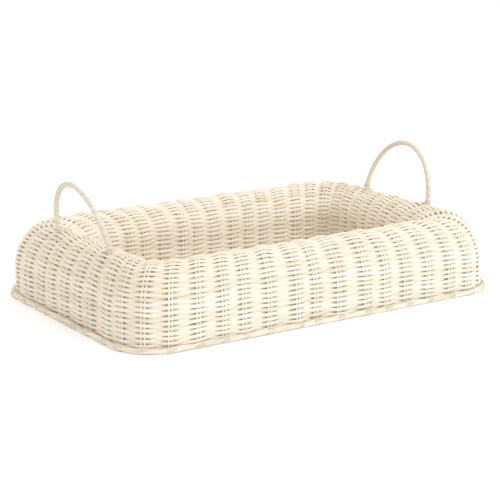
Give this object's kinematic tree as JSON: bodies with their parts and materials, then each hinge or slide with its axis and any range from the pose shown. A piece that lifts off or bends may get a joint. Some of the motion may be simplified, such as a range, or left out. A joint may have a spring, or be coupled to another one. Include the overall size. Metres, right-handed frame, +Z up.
{
  "type": "serving tray",
  "caption": "Hand-woven rattan serving tray: rounded rectangular well, thick hollow rolled wall, roped foot border and a wrapped cane hoop handle at each short end.",
  "frame": {"origin": "middle of the face that the tray stands on, at the centre of the foot border", "axes": "+X along the long side, towards the right handle; +Y towards the back long side; +Z up, out of the tray"},
  "size_m": [0.622, 0.412, 0.1918],
  "materials": {
    "weave_cane": "matte bleached rattan weavers",
    "stake_cane": "matte bleached rattan stakes",
    "border_cane": "matte roped rattan border",
    "hoop_cane": "plain natural cane",
    "handle_cane": "plain natural cane",
    "handle_peel": "satin flat cane peel"
  },
  "bodies": {
    "root": {"through_stake_01": "stake_cane", "through_stake_02": "stake_cane", "through_stake_03": "stake_cane", "through_stake_04": "stake_cane", "through_stake_05": "stake_cane", "through_stake_06": "stake_cane", "through_stake_07": "stake_cane", "through_stake_08": "stake_cane", "through_stake_09": "stake_cane", "through_stake_10": "stake_cane", "through_stake_11": "stake_cane", "through_stake_12": "stake_cane", "through_stake_13": "stake_cane", "through_stake_14": "stake_cane", "end_stake_left_01": "stake_cane", "end_stake_left_02": "stake_cane", "end_stake_left_03": "stake_cane", "end_stake_left_04": "stake_cane", "end_stake_left_05": "stake_cane", "end_stake_left_06": "stake_cane", "end_stake_left_07": "stake_cane", "end_stake_left_08": "stake_cane", "end_stake_left_09": "stake_cane", "end_stake_left_10": "stake_cane", "end_stake_left_11": "stake_cane", "end_stake_right_01": "stake_cane", "end_stake_right_02": "stake_cane", "end_stake_right_03": "stake_cane", "end_stake_right_04": "stake_cane", "end_stake_right_05": "stake_cane", "end_stake_right_06": "stake_cane", "end_stake_right_07": "stake_cane", "end_stake_right_08": "stake_cane", "end_stake_right_09": "stake_cane", "end_stake_right_10": "stake_cane", "end_stake_right_11": "stake_cane", "outer_wall_weave": "weave_cane", "crown_weave": "weave_cane", "floor_weave": "weave_cane", "inner_weave_front": "weave_cane", "inner_weave_back": "weave_cane", "inner_weave_left": "weave_cane", "inner_weave_right": "weave_cane", "inner_weave_left_front": "weave_cane", "inner_weave_left_back": "weave_cane", "inner_weave_right_front": "weave_cane", "inner_weave_right_back": "weave_cane", "foot_border": "border_cane", "foot_hoop": "hoop_cane", "floor_hoop": "hoop_cane", "handle_cane_left": "handle_cane", "handle_wrap_left": "handle_peel", "leg_lashing_left_front": "handle_peel", "leg_lashing_left_back": "handle_peel", "handle_cane_right": "handle_cane", "handle_wrap_right": "handle_peel", "leg_lashing_right_front": "handle_peel", "leg_lashing_right_back": "handle_peel"}
  },
  "joints": []
}
